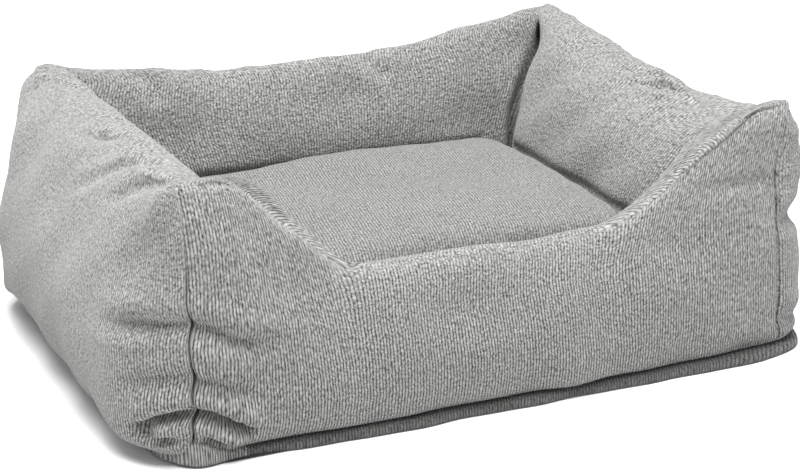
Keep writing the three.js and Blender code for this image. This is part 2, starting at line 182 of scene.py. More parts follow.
# Deep creases in the front and back bolsters behind the side bolsters' ends: half sizes in X and heights
CREASE_LINE = [
    (0.288, 0.262), (0.281, 0.236), (0.265, 0.205), (0.249, 0.170), (0.241, 0.140), (0.240, 0.100),
]
CREASE_AT = {"back": 0.190, "front": -0.176}
CREASE = {"width": 0.0065, "depth": 0.028, "rise": 0.05, "ends": (0.12, 0.02)}
FOLD_REACH = 0.022            # how far off the cloth a fold's line may lie before the fold weakens
# Where two walls meet, outside and in the nest: half sizes in X and Y, and the way out
CORNERS = ((0.303, FACE_Y - 0.004, 1), (0.268, 0.183, -1))
# Grooves in the side and back bolsters along the cushion's edge
CUSHION_LINES = [
    [(0.219, -0.140, 0.126), (0.218, -0.05, 0.126), (0.218, 0.05, 0.126), (0.219, 0.150, 0.126)],
    [(-0.219, -0.140, 0.126), (-0.218, -0.05, 0.126), (-0.218, 0.05, 0.126), (-0.219, 0.150, 0.126)],
    [(-0.200, 0.174, 0.127), (-0.07, 0.173, 0.127), (0.07, 0.173, 0.127), (0.200, 0.174, 0.127)],
]
CUSHION_GROOVE = {"width": 0.0055, "depth": 0.008, "rise": 0.0, "ends": (0.04, 0.02)}


# ---- Small tools ----
def smooth(x, low, high):
    t = np.clip((np.asarray(x, float) - low) / (high - low), 0, 1)
    return t * t * (3 - 2 * t)


def bell(x, width):
    return np.exp(-(np.asarray(x) / width) ** 2)


def spline(points, at):
    """Catmull-Rom curve through the points at shares 0..1 of their number."""
    p = np.array(points, float)
    p = np.vstack([2 * p[0] - p[1], p, 2 * p[-1] - p[-2]])
    u = np.clip(np.asarray(at, float), 0, 1) * (len(points) - 1)
    i = np.minimum(u.astype(int), len(points) - 2)
    f = (u - i)[..., None]
    a, b, c, d = p[i], p[i + 1], p[i + 2], p[i + 3]
    return 0.5 * (2 * b + (c - a) * f + (2 * a - 5 * b + 4 * c - d) * f**2 + (3 * b - 3 * c + d - a) * f**3)


def waves(points, size, count, seed):
    """Soft random rise and fall over space, about -1 to 1, as a sum of plane waves of about that size."""
    random = np.random.default_rng(seed)
    total = np.zeros(len(points))
    for _ in range(count):
        direction = random.normal(size=3)
        direction /= np.linalg.norm(direction)
        length = size * random.uniform(0.7, 1.5)
        total += np.sin(points @ direction * 2 * np.pi / length + random.uniform(0, 2 * np.pi))
    return total / math.sqrt(count)


def new_object(name, vertices, faces):
    mesh = bpy.data.meshes.new(name)
    mesh.from_pydata([tuple(v) for v in vertices], [], [tuple(int(i) for i in f) for f in faces])
    mesh.update()
    mesh.shade_smooth()
    piece = bpy.data.objects.new(name, mesh)
    bpy.context.scene.collection.objects.link(piece)
    return piece


def coordinates(mesh):
    co = np.zeros(len(mesh.vertices) * 3, np.float32)
    mesh.vertices.foreach_get("co", co)
    return co.reshape(-1, 3).astype(float)


def set_coordinates(mesh, co):
    mesh.vertices.foreach_set("co", co.astype(np.float32).ravel())
    mesh.update()


def vertex_normals(mesh):
    normals = np.zeros(len(mesh.vertices) * 3, np.float32)
    mesh.vertices.foreach_get("normal", normals)
    return normals.reshape(-1, 3).astype(float)


def set_uv(mesh, name, uv):
    layer = mesh.uv_layers.new(name=name)
    loops = np.zeros(len(mesh.loops), np.int32)
    mesh.loops.foreach_get("vertex_index", loops)
    layer.data.foreach_set("uv", uv[loops].astype(np.float32).ravel())


def set_marks(mesh, name, values):
    """A number on each vertex that a subdivision carries along."""
    mesh.attributes.new(name, "FLOAT", "POINT").data.foreach_set("value", values.astype(np.float32))


def marks(mesh, name):
    values = np.zeros(len(mesh.vertices), np.float32)
    mesh.attributes[name].data.foreach_get("value", values)
    return values.astype(float)


def weight_group(piece, name, weights):
    group = piece.vertex_groups.new(name=name)
    for i, w in enumerate(weights):
        group.add([i], float(w), "REPLACE")
    return group.name


def apply_modifiers(piece):
    bpy.context.view_layer.update()
    evaluated = piece.evaluated_get(bpy.context.evaluated_depsgraph_get())
    mesh = bpy.data.meshes.new_from_object(evaluated)
    piece.modifiers.clear()
    old = piece.data
    piece.data = mesh
    bpy.data.meshes.remove(old)
    mesh.shade_smooth()


def subdivide(piece, levels=1):
    modifier = piece.modifiers.new("Subdivision", "SUBSURF")
    modifier.levels = levels
    modifier.render_levels = levels
    apply_modifiers(piece)


def inflate(piece, pin, spare, pressure, cap, frames=18):
    """Swells the closed mesh under pressure. For each point, pin is how firmly it is held, spare how much
    extra cloth it gets and cap how far it may move."""
    start = coordinates(piece.data)
    pin_name = weight_group(piece, "pin", pin)
    spare_name = weight_group(piece, "spare", spare)
    cloth = piece.modifiers.new("Cloth", "CLOTH")
    settings = cloth.settings
    settings.quality = 5
    settings.mass = 0.25
    settings.tension_stiffness = 14
    settings.compression_stiffness = 14
    settings.shear_stiffness = 5
    settings.bending_stiffness = 0.8
    settings.tension_damping = 8
    settings.compression_damping = 8
    settings.shear_damping = 8
    settings.bending_damping = 1
    settings.air_damping = 2
    settings.use_pressure = True
    settings.uniform_pressure_force = pressure
    settings.effector_weights.gravity = 0
    settings.vertex_group_mass = pin_name
    settings.vertex_group_shrink = spare_name
    settings.shrink_min = 0.0
    settings.shrink_max = -0.16
    cloth.collision_settings.use_collision = False
    scene = bpy.context.scene
    cloth.point_cache.frame_start = 1
    cloth.point_cache.frame_end = frames
    for number in range(1, frames + 1):
        scene.frame_set(number)
    evaluated = piece.evaluated_get(bpy.context.evaluated_depsgraph_get())
    end = coordinates(evaluated.data)
    piece.modifiers.remove(cloth)
    piece.vertex_groups.clear()
    scene.frame_set(1)
    move = end - start
    length = np.linalg.norm(move, axis=1, keepdims=True)
    limited = cap * np.tanh(length / np.maximum(cap, 1e-6))
    set_coordinates(piece.data, start + move * limited / np.maximum(length, 1e-9))


def fold_move(co, normals, line, width, depth, rise=0.3, hang=0.0, ends=(0.3, 0.3)):
    """Move of each point for a fold pressed in along the line; rise is how high its shoulders stand.
    hang lets the cloth above the fold sag over it; ends are the shares of the line that it fades over."""
    line = spline(line, np.linspace(0, 1, 8 * len(line)))
    steps = np.linalg.norm(np.diff(line, axis=0), axis=1)
    run = np.concatenate([[0], np.cumsum(steps)])
    near = np.full(len(co), np.inf)
    along = np.zeros(len(co))
    level = np.zeros(len(co))
    for start, end, before, step in zip(line[:-1], line[1:], run, steps):
        share = np.clip((co - start) @ (end - start) / step**2, 0, 1)
        foot = start + share[:, None] * (end - start)
        away = co - foot
        lift = np.sum(away * normals, axis=1)
        over = np.clip(np.abs(lift) - FOLD_REACH, 0, None)
        beside = np.sum(away**2, axis=1) - lift**2
        distance = np.sqrt(np.maximum(beside, 0) + over**2)
        closer = distance < near
        near = np.where(closer, distance, near)
        along = np.where(closer, before + share * step, along)
        level = np.where(closer, foot[:, 2], level)
    total = run[-1]
    fade_in = smooth(along, -1e-6, max(ends[0] * total, 1e-6))
    fade_out = smooth(total - along, -1e-6, max(ends[1] * total, 1e-6))
    fade = fade_in * fade_out
    profile = depth * (rise * bell(near - 2 * width, width) - bell(near, width))
    move = normals * (profile * fade)[:, None]
    move[:, 2] -= hang * fade * smooth(co[:, 2] - level, 0, width) * bell(near, 2.5 * width)
    return move


# ---- Bolsters ----
def entry_share(x):
    left = smooth(x, *ENTRY_LEFT)
    right = 1 - smooth(x, *ENTRY_RIGHT)
    return np.minimum(left, right)


def back_ridge(t):
    level = PEAK + (BACK_RIGHT_PEAK - PEAK) * (1 - t) ** 2
    return level - 0.027 * np.sin(np.pi * t) + 0.003 * bell(t - 0.15, 0.12)


def right_ridge(t):
    level = BACK_RIGHT_PEAK - (BACK_RIGHT_PEAK - PEAK) * (1 - t) ** 2
    return level - 0.019 * np.sin(np.pi * t**0.42) + 0.004 * bell(t - 0.88, 0.10)


def left_ridge(t):
    return PEAK + 0.004 * np.sin(np.pi * t)


def front_ridge(t):
    return PEAK - (PEAK - ENTRY_Z) * entry_share(RIDGE_LENGTH * t + RIDGE_START)


# Each wall runs from its start corner to its end corner, left to right seen from outside.
# axes: the directions along it and out of it; across: the axis that its thickness lies along.
WALLS = {
    "back": {"face": FACE_Y, "thick": BACK_THICK, "ridge": back_ridge, "axes": ((-1, 0), (0, 1)),
             "corners": ("back_right", "back_left"), "across": "y"},
    "front": {"face": FACE_Y, "thick": FRONT_THICK, "ridge": front_ridge, "axes": ((1, 0), (0, -1)),
              "corners": ("front_left", "front_right"), "across": "y"},
    "left": {"face": FACE_X, "thick": SIDE_THICK, "ridge": left_ridge, "axes": ((0, -1), (-1, 0)),
             "corners": ("back_left", "front_left"), "across": "x"},
    "right": {"face": FACE_X, "thick": SIDE_THICK, "ridge": right_ridge, "axes": ((0, 1), (1, 0)),
              "corners": ("front_right", "back_right"), "across": "x"},
}


def corner_seam(corner, n, h):
    """Half sizes in X and Y of a corner seam's path at share n of the thickness and h of the height."""
    low = smooth(1.02 - h, 0, 0.35)
    inner = smooth(n - RIDGE_SHARE, 0.02, 0.42) * smooth(1.02 - h, 0, 0.16)
    upright = np.interp(h, *CORNER_SEAMS[corner])
    push_out, push_in = CORNER_PUSH[corner]
    face = FACE_X - n * SIDE_THICK + push_out * (1 - smooth(n, 0.4, 0.8)) - push_in * bell(n - 0.58, 0.16)
    x = np.minimum(upright, face) + CREASE_X * inner
    thick = FRONT_THICK if corner.startswith("front") else BACK_THICK
    outer = smooth(RIDGE_SHARE - n, 0.0, 0.3) * low
    y = FACE_Y - n * thick - SEAM_DRAW[corner] * outer + CREASE_Y * inner
    return {"x": x, "y": y}


def fullness(wall, t, n, h):
    """Extra swell of the side bolsters: a belly low on the outside, and full shoulders at the top."""
    if wall["across"] == "y":
        return 0.0
    outside = 1 - smooth(n, 0.25, 0.6)
    inside = smooth(n, 0.38, 0.6) * smooth(h, 0.45, 0.75)
    belly = outside * smooth(h, 0, 0.05) * (1 - smooth(h, 0.4, 0.8))
    top = outside * smooth(h, 0.45, 0.85)
    if wall["corners"][1] == "front_left":
        return 0.009 * belly + 0.003 * top - (0.006 + 0.010 * smooth(t, 0.4, 1.0)) * inside
    near_front = 1 - smooth(t, 0.0, 0.45)
    return (0.002 + 0.015 * near_front) * belly + 0.034 * near_front * top


def wall_points(wall, t, s):
    """Points of a wall's surface on the grid of shares t of its length and s of its section."""
    section = spline(SECTION, s)[:, None, :]
    n, h = section[..., 0], section[..., 1]
    ridge = wall["ridge"](t)[None, :]
    z = RING_BOTTOM + h * (ridge - RING_BOTTOM)
    seams = [corner_seam(corner, n, h) for corner in wall["corners"]]
    lengthways = "y" if wall["across"] == "x" else "x"
    gap = SEAM_GAP if wall["across"] == "x" else 0.0
    press = SEAM_PRESS - (SEAM_PRESS + gap) * smooth(n, 0.50, 0.70)
    start, end = -seams[0][lengthways] - press, seams[1][lengthways] + press
    along = start + (end - start) * t[None, :]
    from_end = np.minimum(along - start, end - along)
    outer_radius, inner_radius = ROUND_END[wall["across"]]
    radius = outer_radius + (inner_radius - outer_radius) * smooth(n, 0.4, 0.7)
    seam = seams[0][wall["across"]] * (1 - t) + seams[1][wall["across"]] * t
    face = wall["face"] - n * wall["thick"]
    if wall["across"] == "x":
        wrap = np.clip(1.15 * np.abs(face - seam), 0.022, radius)
        radius = np.where(n < 0.4, wrap, radius)
    eased = np.clip(from_end / radius, 0, 1)
    full = np.sqrt(1 - (1 - eased) ** 2)
    if wall["across"] == "y":
        face = face + BOW * np.sin(np.pi * t)[None, :] * np.clip(1 - 2 * n, 0, 1)
    out = seam + (face - seam) * full + fullness(wall, t, n, h) * full
    (ax, ay), (bx, by) = wall["axes"]
    return np.stack([along * ax + out * bx, along * ay + out * by, z], axis=-1), n[:, 0], h[:, 0]


OUTSIDE_ROWS = 20             # rows of a bolster's points from its outer foot to just below its ridge
LEVEL_ROW = 10                # the one about a third of the way up
INNER_ROW = -12               # the one about halfway up the inside, counted from the inner foot
UNDER_ROWS = [1.02, 1.05, 1.08]   # marks of the rows under a bolster, past the end of its section


def cord_places(wall, points, t, n, h):
    """The cords' own coordinates along a wall, on its outer and its inner panel. The cords run straight
    up each panel's cut, so they lean over a sloping ridge, and the two panels' cords meet at an angle."""
    def row_length(row):
        return np.concatenate([[0], np.cumsum(np.linalg.norm(np.diff(points[row], axis=0), axis=1))])
    outer_row = int(np.argmin(np.abs(h[:OUTSIDE_ROWS] - 0.3)))
    rise = np.gradient(wall["ridge"](t), row_length(outer_row))
    slope = np.arctan(h[:, None] * rise[None, :])
    inward = np.abs(np.diff(n, prepend=n[0]))[:, None] * wall["thick"]
    turned = np.cumsum(np.sin(slope) * inward, axis=0)
    outer = row_length(outer_row)[None, :] - turned
    inner = row_length(INNER_ROW)[None, :] - (turned[-1:] - turned)
    return outer, inner


def length_shares(wall):
    """Shares along a wall: close together where it swells round its ends."""
    length = 2 * (FACE_Y if wall["across"] == "x" else CORNER_SEAMS["front_left"][1][-1])
    radius = ROUND_END[wall["across"]][0]
    if wall["across"] == "x":
        end = radius * (1 - np.cos(np.linspace(0, np.pi / 2, 13))) / length
    else:
        end = np.array([0, 0.002, 0.005, 0.009, 0.014, 0.020]) / length
    middle = np.linspace(end[-1], 1 - end[-1], int((1 - 2 * end[-1]) * length / 0.0075) + 1)
    return np.concatenate([end[:-1], middle, 1 - end[:-1][::-1]])


def section_shares():
    """Shares along the section, with three rows close together at the ridge seam."""
    step = 0.008
    outer = np.linspace(0, SEAM_AT - 2 * step, 24)
    inner = np.linspace(SEAM_AT + 2 * step, 1, 28)
    return np.concatenate([outer, [SEAM_AT - 0.7 * step, SEAM_AT, SEAM_AT + 0.7 * step], inner])


def filled(loop, start):
    """Faces across a loop of vertex numbers, like the rungs of a ladder from its start to the far side."""
    order = list(np.roll(loop, -start))
    half = len(order) // 2
    left = order[:half + 1]
    right = order[:1] + order[half:][::-1]
    faces = [(left[0], left[1], right[1])]
    faces += [(left[k], left[k + 1], right[k + 1], right[k]) for k in range(1, half - 1)]
    faces.append((left[half - 1], left[half], right[half - 1]))
    return faces


def closed_tube(name, points, start):
    """A closed mesh from rows of points that go round it, with its two ends filled from a start row."""
    total, columns = points.shape[:2]
    index = np.arange(total * columns).reshape(total, columns)
    below = np.roll(index, -1, axis=0)
    faces = np.stack([index[:, :-1], index[:, 1:], below[:, 1:], below[:, :-1]], axis=-1).reshape(-1, 4)
    ends = filled(index[::-1, 0], total - 1 - start) + filled(index[:, -1], start)
    ends = [face[::-1] for face in ends]
    return new_object(name, points.reshape(-1, 3), list(faces) + ends)


def build_wall(name, wall):
    t = length_shares(wall)
    s = section_shares()
    points, n, h = wall_points(wall, t, s)
    seam_row = int(np.argmin(np.abs(s - SEAM_AT)))
    outer, inner = cord_places(wall, points, t, n, h)
    foot = len(UNDER_ROWS)
    share = np.linspace(0, 1, foot + 2)[1:-1, None, None]
    bottom = points[-1][None] * (1 - share) + points[0][None] * share
    middle = points[:, len(t) // 2]
    up = np.concatenate([[0], np.cumsum(np.linalg.norm(np.diff(middle, axis=0), axis=1))])
    up = np.concatenate([up, up[-1] + np.linspace(0.01, 0.05, foot)])
    piece = closed_tube(f"{name}_bolster", np.concatenate([points, bottom]), seam_row)
    panels = [with_height(cords, up, foot) for cords in (outer, inner)]
    set_panel_uv(piece.data, panels, seam_row * (len(t) - 1))
    from_seam = np.tile(np.minimum(t, 1 - t), len(up)) * np.ptp(outer[LEVEL_ROW])
    # The cord grooves lose their painted shade higher up each bolster, where more light reaches into them,
    # and along the ridge seam, where they would show as bright and dark stripes.
    tight = RIDGE_TIGHT_AND_LIT[name] * smooth(points[..., 2], 0.04, 0.20)
    tight = np.maximum(tight, bell(s - SEAM_AT, 0.045)[:, None])
    tight = np.concatenate([tight, np.zeros((foot, len(t)))]).ravel()
    set_uv(piece.data, "tight", np.stack([tight, tight], axis=-1))
    set_marks(piece.data, "around", np.repeat(np.concatenate([s, UNDER_ROWS]), len(t)))
    set_marks(piece.data, "from_seam", from_seam)
    return piece


def with_height(cords, up, foot):
    """Cloth coordinates of a bolster's points: the cords' own along it and the way up its section."""
    cords = np.concatenate([cords, np.repeat(cords[-1:], foot, axis=0)])
    return np.stack([cords, np.repeat(up[:, None], cords.shape[1], axis=1)], axis=-1).reshape(-1, 2)


def set_panel_uv(mesh, panels, first_inner_face):
    """The outer panel's cloth coordinates on the first faces and the inner panel's on the rest."""
    vertex = np.zeros(len(mesh.loops), np.int32)
    mesh.loops.foreach_get("vertex_index", vertex)
    sizes = np.zeros(len(mesh.polygons), np.int32)
    mesh.polygons.foreach_get("loop_total", sizes)
    face = np.repeat(np.arange(len(sizes)), sizes)
    uv = np.where((face < first_inner_face)[:, None], panels[0][vertex], panels[1][vertex])
    mesh.uv_layers.new(name="cloth").data.foreach_set("uv", uv.astype(np.float32).ravel())


def swell_wall(piece, cap):
    """Swells a bolster between its pinned seams, less beside its ends and where the cushion lies."""
    s = marks(piece.data, "around")
    from_seam = marks(piece.data, "from_seam")
    pin = ((from_seam < 1e-6) | (s > 0.999) | (s < 1e-6)).astype(float)
    near_seam = 1 - smooth(from_seam, 0.01, 0.10)
    near_foot = 1 - smooth(s, 0.0, 0.12)
    spare = np.clip(0.12 + 0.6 * near_seam + 0.35 * near_foot, 0, 1)
    ease = np.where(s < SEAM_AT, smooth(from_seam, -0.006, 0.035), smooth(from_seam, 0.0, 0.07))
    beside_cushion = smooth(s, 0.70, 0.80) * (1 - smooth(s, 0.98, 1.0))
    ease = ease * (1 - 0.8 * beside_cushion)
    inflate(piece, pin, spare, pressure=2.5, cap=(cap * ease)[:, None])


def outward(co, normals, corner_width=0.03):
    """Normals that turn to the corner's own direction at its seams, so that both walls move alike."""
    corner = np.sign(co) * [1, 1, 0] / math.sqrt(2)
    mixed = normals
    for x, y, way in CORNERS:
        near = bell(np.hypot(np.abs(co[:, 0]) - x, np.abs(co[:, 1]) - y), corner_width)[:, None]
        mixed = mixed * (1 - near) + way * corner * near
    return mixed / np.maximum(np.linalg.norm(mixed, axis=1, keepdims=True), 1e-9)


def press_folds(piece):
    creases = [{"line": line, **CUSHION_GROOVE} for line in CUSHION_LINES]
    for name, y in CREASE_AT.items():
        if piece.name.startswith(name):
            creases += [{"line": [(side * x, y, z) for x, z in CREASE_LINE], **CREASE} for side in (-1, 1)]
    for fold in creases + FOLDS:
        co = coordinates(piece.data)
        line = np.array(fold["line"])
        close = np.all((co > line.min(axis=0) - 0.05) & (co < line.max(axis=0) + 0.05), axis=1)
        if not close.any():
            continue
        normals = outward(co[close], vertex_normals(piece.data)[close])
        co[close] += fold_move(co[close], normals, **fold)
        set_coordinates(piece.data, co)


def draw_seams(piece):
    """Sinks the ridge seam and lets the cloth beside every seam pucker softly."""
    co = coordinates(piece.data)
    normals = vertex_normals(piece.data)
    s = marks(piece.data, "around")
    from_seam = marks(piece.data, "from_seam")
    groove = 0.0004 * bell(s - SEAM_AT, 0.007)
    shoulder = 0.0003 * bell(np.abs(s - SEAM_AT) - 0.022, 0.014)
    pucker = 0.0008 * waves(co, 0.024, 9, 3) * (bell(s - SEAM_AT, 0.05) + bell(from_seam, 0.035))
    uneven = 0.0016 * waves(co, 0.085, 9, 5)
    shown = smooth(s, 0.0, 0.03) * smooth(1.0 - s, 0.0, 0.03) * smooth(from_seam, 0, 0.01)
    move = (shoulder - groove + (pucker + uneven) * shown)[:, None] * normals
    set_coordinates(piece.data, co + move)


def make_bolsters(material):
    for name, wall in WALLS.items():
        piece = build_wall(name, wall)
        swell_wall(piece, SWELL_CAP[name])
        subdivide(piece)
        draw_seams(piece)
        press_folds(piece)
        subdivide(piece)
        paint(piece, material)
        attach(piece, "bed")
        nodes = [f"{name}_bolster_{part}" for part in ("outer_panel", "inner_panel", "filling")]
        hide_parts(*nodes)


# ---- Base ----
ARC_POINTS = 9                # points round each corner of a loop
LONG_STEPS, SHORT_STEPS = 40, 28    # steps along its sides
BASE_CORNER = 0.062
UNDERSIDE_CORNER = 0.060
DOT_COLUMNS, DOT_ROWS, DOT_STEP = 7, 5, 0.096
GATHERED_CORNER = (-0.312, -0.236)  # where the rim is gathered up


def rounded_loop(half_x, half_y, radius, z, middle):
    """Points round a rectangle with rounded corners, with as many on each part whatever its size."""
    arcs = []
    for turn, (side_x, side_y) in enumerate(((1, 1), (-1, 1), (-1, -1), (1, -1))):
        angle = np.linspace(turn, turn + 1, ARC_POINTS) * np.pi / 2
        corner = [middle[0] + side_x * (half_x - radius), middle[1] + side_y * (half_y - radius)]
        arcs.append(np.stack([np.cos(angle), np.sin(angle)], axis=-1) * radius + corner)
    parts = []
    for turn, arc in enumerate(arcs):
        steps = LONG_STEPS if turn % 2 == 0 else SHORT_STEPS
        share = np.linspace(0, 1, steps + 1)[1:-1, None]
        side = arc[-1] + (arcs[(turn + 1) % 4][0] - arc[-1]) * share
        parts += [arc, side]
    flat = np.vstack(parts)
    return np.column_stack([flat, np.full(len(flat), z)])


def stacked(name, loops):
    """A closed mesh from loops stacked from the bottom's middle outwards and up to the top's middle."""
    around = len(loops[0])
    index = np.arange(len(loops) * around).reshape(len(loops), around)
    nxt = np.roll(index, -1, axis=1)
    faces = np.stack([index[:-1], nxt[:-1], nxt[1:], index[1:]], axis=-1).reshape(-1, 4)
    mid_side = around - SHORT_STEPS // 2
    bottom = [face[::-1] for face in filled(index[0], mid_side)]
    return new_object(name, np.vstack(loops), list(faces) + bottom + filled(index[-1], mid_side))


def box_of(node):
    """Half sizes in X and Y, the middle, and the lowest and highest Z of a node."""
    low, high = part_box(node)
    middle = ((low.x + high.x) / 2, (low.y + high.y) / 2)
    return ((high.x - low.x) / 2, (high.y - low.y) / 2), middle, low.z, high.z


def stack_levels(levels, half, radius, middle):
    return [inset_loop(half, radius, inset, z, middle) for inset, z in levels]


def inset_loop(half, radius, inset, z, middle):
    corner = max(radius - inset, 0.3 * min(half[1] - inset, radius))
    return rounded_loop(half[0] - inset, half[1] - inset, corner, z, middle)


def shape_rim(co):
    """The rim stands out at the front right corner and is gathered up at the front left one."""
    right = smooth(co[:, 0], 0.24, 0.32) * smooth(-co[:, 1], -0.02, 0.18)
    co[:, 0] += 0.044 * right
    to_corner = np.hypot(co[:, 0] - GATHERED_CORNER[0], co[:, 1] - GATHERED_CORNER[1])
    near = bell(to_corner, 0.036)
    co[:, 2] *= 1 + 1.9 * near
    co[:, 0] += 0.006 * near
    co[:, 1] -= 0.010 * near
    beside = smooth(-co[:, 0], 0.14, 0.26) * smooth(-co[:, 1], 0.1, 0.2) * (1 - near)
    co[:, 1] += 0.009 * beside
    return co


# material is the rim's knit, made darker as painted shade under the bolsters' overhang; corner is the
# bolsters' own knit, used for the gathered lobe that stands out into the light.
def make_base_cover(material, lining, corner):
    half, middle, low, _ = box_of("base_lip")
    levels = [(0.180, low), (0.100, low), (0.030, low), (0.012, low), (0.004, 0.0012), (0.0010, 0.0008),
              (0.0, 0.0022), (0.0005, 0.0050), (0.0020, 0.0078), (0.0060, 0.0096), (0.016, 0.0099),
              (0.045, 0.0097), (0.075, 0.0097), (0.110, 0.0097), (0.150, 0.0097), (0.200, 0.0097)]
    loops = stack_levels(levels, half, BASE_CORNER, middle)
    piece = stacked("base_cover", loops)
    set_uv(piece.data, "cloth", coordinates(piece.data)[:, :2] @ np.array([[1, 0.35], [-0.35, 1]]))
    # The base cover's cord grooves keep their full painted shade.
    set_uv(piece.data, "tight", np.zeros((len(piece.data.vertices), 2)))
    subdivide(piece)
    co = shape_rim(coordinates(piece.data))
    edge = smooth(np.maximum(np.abs(co[:, 0]) - half[0] + 0.03, np.abs(co[:, 1]) - half[1] + 0.03), 0, 0.02)
    out = co / np.linalg.norm(co, axis=1, keepdims=True) * [1, 1, 0]
    co += out * (0.0016 * waves(co, 0.06, 8, 11) * edge)[:, None]
    co[:, 2] -= 0.0004 * (1 - edge) * (1 + waves(co, 0.05, 8, 12)) * (co[:, 2] > 0.006)
    set_coordinates(piece.data, co)
    paint(piece, material, lining, corner)
    # The rim's faces take the darker knit as painted shade, the middle takes the lining, and the gathered
    # lobe at the front left corner takes the bolsters' knit.
    for polygon in piece.data.polygons:
        inside = abs(polygon.center.x) < half[0] - 0.05 and abs(polygon.center.y) < half[1] - 0.05
        lobe = polygon.center.x < -0.245 and polygon.center.y < -0.175
        polygon.material_index = 1 if inside else 2 * int(lobe)
    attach(piece, "bed")
    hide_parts("base_lip", "base_wadding", "base_top_sheet")
    return piece


def make_underside(material, rubber, cover):
    half, middle, low, high = box_of("base_underside")
    cloth_low = low + 0.0008
    levels = [(0.180, cloth_low), (0.090, cloth_low), (0.030, cloth_low), (0.002, cloth_low),
              (0.0, (cloth_low + high) / 2), (0.002, high), (0.030, high), (0.090, high), (0.180, high)]
    piece = stacked("underside_cloth", stack_levels(levels, half, UNDERSIDE_CORNER, middle))
    set_uv(piece.data, "cloth", coordinates(piece.data)[:, :2])
    paint(piece, material)
    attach(piece, "bed")
    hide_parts("base_underside")
    dots = grip_dots(low, cloth_low + 0.0001)
    paint(dots, rubber)
    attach(dots, "bed")


def grip_dots(low, high):
    """Low domes in a grid under the base."""
    rings = [(0.0012, low), (0.0030, low + 0.0001), (0.0038, low + 0.0004), (0.0040, high)]
    angle = np.linspace(0, 2 * np.pi, 20, endpoint=False)
    vertices = []
    faces = []
    for column in range(DOT_COLUMNS):
        for row in range(DOT_ROWS):
            x, y = (column - DOT_COLUMNS // 2) * DOT_STEP, (row - DOT_ROWS // 2) * DOT_STEP
            first = len(vertices)
            for radius, z in rings:
                vertices += [(x + radius * math.cos(a), y + radius * math.sin(a), z) for a in angle]
            faces += ring_faces(first, len(rings), len(angle))
    return new_object("grip_dots", vertices, faces)


def ring_faces(first, rings, around):
    """Faces of a closed stack of rings, from the vertex number of its first point."""
    faces = [tuple(first + i for i in reversed(range(around)))]
    faces.append(tuple(first + (rings - 1) * around + i for i in range(around)))
    for ring in range(rings - 1):
        for i in range(around):
            nxt = (i + 1) % around
            low, high = first + ring * around, first + (ring + 1) * around
            faces.append((low + i, low + nxt, high + nxt, high + i))
    return faces


# ---- Cushion ----
# Section from the bottom's middle to the top's: how far inside the cushion's outline, and the height
CUSHION_SECTION = [
    (0.150, 0.0106), (0.090, 0.0106), (0.050, 0.0108), (0.030, 0.0125), (0.021, 0.0200),
    (0.0175, 0.0320), (0.0175, 0.0440), (0.0185, 0.0500), (0.0175, 0.0560), (0.0165, 0.0650),
    (0.0090, 0.0830), (0.0030, 0.1000), (0.0008, 0.1160), (0.0024, 0.1285), (0.0080, 0.1385),
    (0.0190, 0.1448), (0.0420, 0.1480), (0.0770, 0.1495), (0.1100, 0.1500), (0.1560, 0.1503),
]
CUSHION_CORNER = 0.045
CUSHION_LOOPS = 46
CUSHION_SEAM_Z = 0.050


def cushion_uv(levels, half, middle):
    """The cover laid flat: each loop as far from the top's middle as it is along the cloth."""
    steps = np.linalg.norm(np.diff(levels, axis=0), axis=1)
    from_top = np.concatenate([np.cumsum(steps[::-1])[::-1], [0]])
    insets = levels[-1][0] - from_top
    loops = [inset_loop(half, CUSHION_CORNER, inset, 0, middle) for inset in insets]
    return np.vstack(loops)[:, :2]


def make_cushion(material):
    half, middle, _, _ = box_of("cushion_cover_upper")
    levels = spline(CUSHION_SECTION, np.linspace(0, 1, CUSHION_LOOPS))
    loops = stack_levels(levels, half, CUSHION_CORNER, middle)
    piece = stacked("cushion_pad", loops)
    uv = cushion_uv(levels, half, middle)
    skew = np.array([[1, 0.0], [-0.158, 1]])
    set_uv(piece.data, "cloth", uv @ skew)
    # The cord grooves' painted shade is lighter on the cushion's top, which faces the light.
    tight = 0.4 * smooth(coordinates(piece.data)[:, 2], 0.08, 0.14)
    set_uv(piece.data, "tight", np.stack([tight, tight], axis=-1))
    subdivide(piece)
    co = coordinates(piece.data)
    normals = vertex_normals(piece.data)
    free = smooth(co[:, 2], 0.064, 0.10)
    seam = 0.0016 * bell(co[:, 2] - CUSHION_SEAM_Z, 0.003)
    move = (0.0022 * waves(co, 0.13, 9, 21) + 0.0007 * waves(co, 0.035, 9, 22)) * free - seam
    co[:, 2] -= 0.007 * smooth(-co[:, 0], -0.05, 0.2) * smooth(co[:, 2], 0.10, 0.14)
    top = smooth(co[:, 2], 0.130, 0.137)[:, None]
    set_coordinates(piece.data, co + (normals * (1 - top) + [0, 0, 1] * top) * move[:, None])
    subdivide(piece)
    paint(piece, material)
    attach(piece, "cushion")
    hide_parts("cushion_cover_upper", "cushion_cover_lower", "cushion_filling")
    return piece


# ---- Zip ----
TEETH = 150                   # in each of the two rows
TOOTH_STEP = 0.002
TOOTH_HALF_WIDTH = 0.00055


def tape_piece(node, material):
    """A woven strip, slightly wavy, sewn along the opening."""
    low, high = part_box(node)
    x = np.linspace(low.x, high.x, 120)
    z = np.linspace(low.z, high.z, 7)
    grid = np.stack(np.meshgrid(x, z, indexing="ij"), axis=-1)
    ripple = 0.00012 * np.sin(grid[..., 0] * 340) * np.sin(grid[..., 1] * 280)
    front = np.stack([grid[..., 0], high.y - 0.00015 + ripple, grid[..., 1]], axis=-1)
    back = front - [0, 0.0005, 0]
    rows = np.concatenate([front, back[:, ::-1]], axis=1).transpose(1, 0, 2)
    piece = closed_tube(f"{node}_cloth", rows[::-1], 0)
    set_uv(piece.data, "cloth", coordinates(piece.data)[:, [0, 2]])
    paint(piece, material)
    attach(piece, "cushion")
    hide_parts(node)


